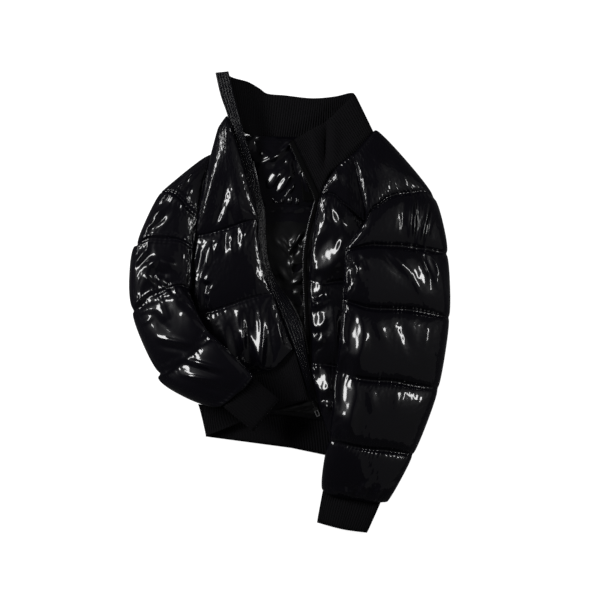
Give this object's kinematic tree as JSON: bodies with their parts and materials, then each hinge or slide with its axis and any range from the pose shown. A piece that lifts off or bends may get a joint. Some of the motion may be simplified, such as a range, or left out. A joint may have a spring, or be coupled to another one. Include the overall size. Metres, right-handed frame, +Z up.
{
  "type": "puffer jacket",
  "caption": "Cropped glossy black puffer jacket with a ribbed collar, cuffs and hem, lying flat on its back with its zipped front open and its sleeves folded over it.",
  "frame": {"origin": "middle of the bounding box, on the surface that the jacket lies on", "axes": "+Y from the hem to the collar, +X from the jacket's right arm to its left arm, +Z up from the surface that it lies on"},
  "size_m": [0.5602, 0.805, 0.1048],
  "materials": {
    "gloss_shell": "coated nylon with a wet-look gloss",
    "rib_knit": "matte rib knit",
    "satin_lining": "satin lining",
    "facing_cloth": "matte woven",
    "zip_tape": "matte woven tape",
    "dark_metal": "satin dark nickel"
  },
  "bodies": {
    "jacket": {"back_panel": "gloss_shell", "back_hem_rib": "rib_knit", "yoke_lining": "gloss_shell", "lining_band": "facing_cloth", "lower_lining": "satin_lining", "left_front_facing": "facing_cloth", "right_front_panel": "gloss_shell", "left_front_panel": "gloss_shell", "right_front_hem_rib": "rib_knit", "left_front_hem_rib": "rib_knit", "right_placket": "gloss_shell", "right_zip_tape": "zip_tape", "left_zip_tape": "zip_tape", "collar": "rib_knit", "right_sleeve": "gloss_shell", "right_cuff": "rib_knit", "left_sleeve": "gloss_shell", "left_cuff": "rib_knit", "zip_slider": "dark_metal", "zip_box": "dark_metal"},
    "pull": {"zip_pull_loop": "dark_metal"}
  },
  "joints": [
    {"name": "pull_loop_hinge", "type": "hinge", "parent": "jacket", "child": "pull", "pos_m": [0.04646, -0.19165, 0.0347], "axis": [-0.9219, -0.3875, 0], "range_deg": [0, 160]}
  ]
}
